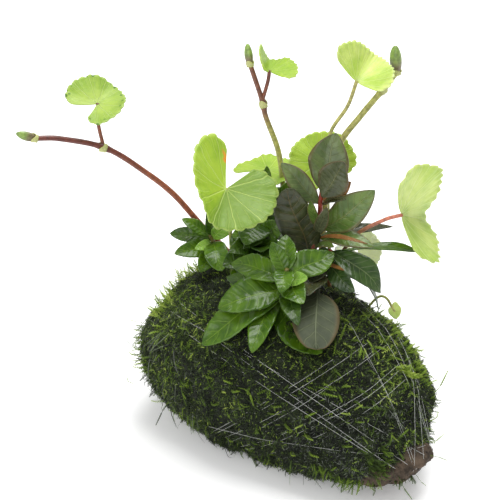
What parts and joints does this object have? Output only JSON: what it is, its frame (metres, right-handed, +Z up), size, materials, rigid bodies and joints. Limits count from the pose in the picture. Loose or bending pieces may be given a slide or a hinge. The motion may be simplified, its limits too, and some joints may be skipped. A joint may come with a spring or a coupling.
{
  "type": "moss bonsai",
  "caption": "Lava stone wrapped in moss tied with thin clear line, planted with round-leaved creeping, dark glossy and green toothed water plants.",
  "frame": {"origin": "middle of the flat spot that the stone rests on", "axes": "+Z up, -Y towards the side that the arrangement is displayed from, +X to the right seen from there"},
  "size_m": [0.167, 0.1134, 0.1531],
  "materials": {
    "stone": "rough, porous, reddish brown",
    "moss": "soft moss, dark green with bright tips",
    "line": "clear, thin, slightly glossy",
    "pennywort_stem": "smooth, red-brown to olive",
    "pennywort_leaf": "satin, yellow-green, veined",
    "ludwigia_stem": "smooth, deep red",
    "ludwigia_leaf": "glossy, dark olive to purple-brown",
    "hygrophila_stem": "smooth, brown-green",
    "hygrophila_leaf": "satin, mid-green, veined"
  },
  "bodies": {
    "root": {"binding_line": "line", "hygrophila_back_leaf_1": "hygrophila_leaf", "hygrophila_back_leaf_2": "hygrophila_leaf", "hygrophila_back_leaf_3": "hygrophila_leaf", "hygrophila_back_leaf_4": "hygrophila_leaf", "hygrophila_back_leaf_5": "hygrophila_leaf", "hygrophila_back_leaf_6": "hygrophila_leaf", "hygrophila_back_leaf_7": "hygrophila_leaf", "hygrophila_back_stem": "hygrophila_stem", "hygrophila_front_leaf_1": "hygrophila_leaf", "hygrophila_front_leaf_10": "hygrophila_leaf", "hygrophila_front_leaf_11": "hygrophila_leaf", "hygrophila_front_leaf_12": "hygrophila_leaf", "hygrophila_front_leaf_2": "hygrophila_leaf", "hygrophila_front_leaf_3": "hygrophila_leaf", "hygrophila_front_leaf_4": "hygrophila_leaf", "hygrophila_front_leaf_5": "hygrophila_leaf", "hygrophila_front_leaf_6": "hygrophila_leaf", "hygrophila_front_leaf_7": "hygrophila_leaf", "hygrophila_front_leaf_8": "hygrophila_leaf", "hygrophila_front_leaf_9": "hygrophila_leaf", "hygrophila_front_stem": "hygrophila_stem", "hygrophila_left_leaf_1": "hygrophila_leaf", "hygrophila_left_leaf_2": "hygrophila_leaf", "hygrophila_left_leaf_3": "hygrophila_leaf", "hygrophila_left_leaf_4": "hygrophila_leaf", "hygrophila_left_leaf_5": "hygrophila_leaf", "hygrophila_left_stem": "hygrophila_stem", "lava_stone": "stone", "ludwigia_low_leaf_1": "ludwigia_leaf", "ludwigia_low_leaf_2": "ludwigia_leaf", "ludwigia_low_leaf_3": "ludwigia_leaf", "ludwigia_low_leaf_4": "ludwigia_leaf", "ludwigia_low_leaf_5": "ludwigia_leaf", "ludwigia_low_leaf_6": "ludwigia_leaf", "ludwigia_low_stem": "ludwigia_stem", "ludwigia_tall_leaf_1": "ludwigia_leaf", "ludwigia_tall_leaf_2": "ludwigia_leaf", "ludwigia_tall_leaf_3": "ludwigia_leaf", "ludwigia_tall_leaf_4": "ludwigia_leaf", "ludwigia_tall_leaf_5": "ludwigia_leaf", "ludwigia_tall_leaf_6": "ludwigia_leaf", "ludwigia_tall_leaf_7": "ludwigia_leaf", "ludwigia_tall_leaf_8": "ludwigia_leaf", "ludwigia_tall_leaf_9": "ludwigia_leaf", "ludwigia_tall_stem": "ludwigia_stem", "moss_mat": "moss", "pennywort_leaf_back_left": "pennywort_leaf", "pennywort_leaf_back_right": "pennywort_leaf", "pennywort_leaf_front": "pennywort_leaf", "pennywort_leaf_left": "pennywort_leaf", "pennywort_leaf_middle": "pennywort_leaf", "pennywort_leaf_pale": "pennywort_leaf", "pennywort_leaf_right": "pennywort_leaf", "pennywort_leaf_small": "pennywort_leaf", "pennywort_leaf_top": "pennywort_leaf", "pennywort_runner_left": "pennywort_stem", "pennywort_runner_low": "pennywort_stem", "pennywort_runner_middle": "pennywort_stem", "pennywort_runner_right": "pennywort_stem"}
  },
  "joints": []
}
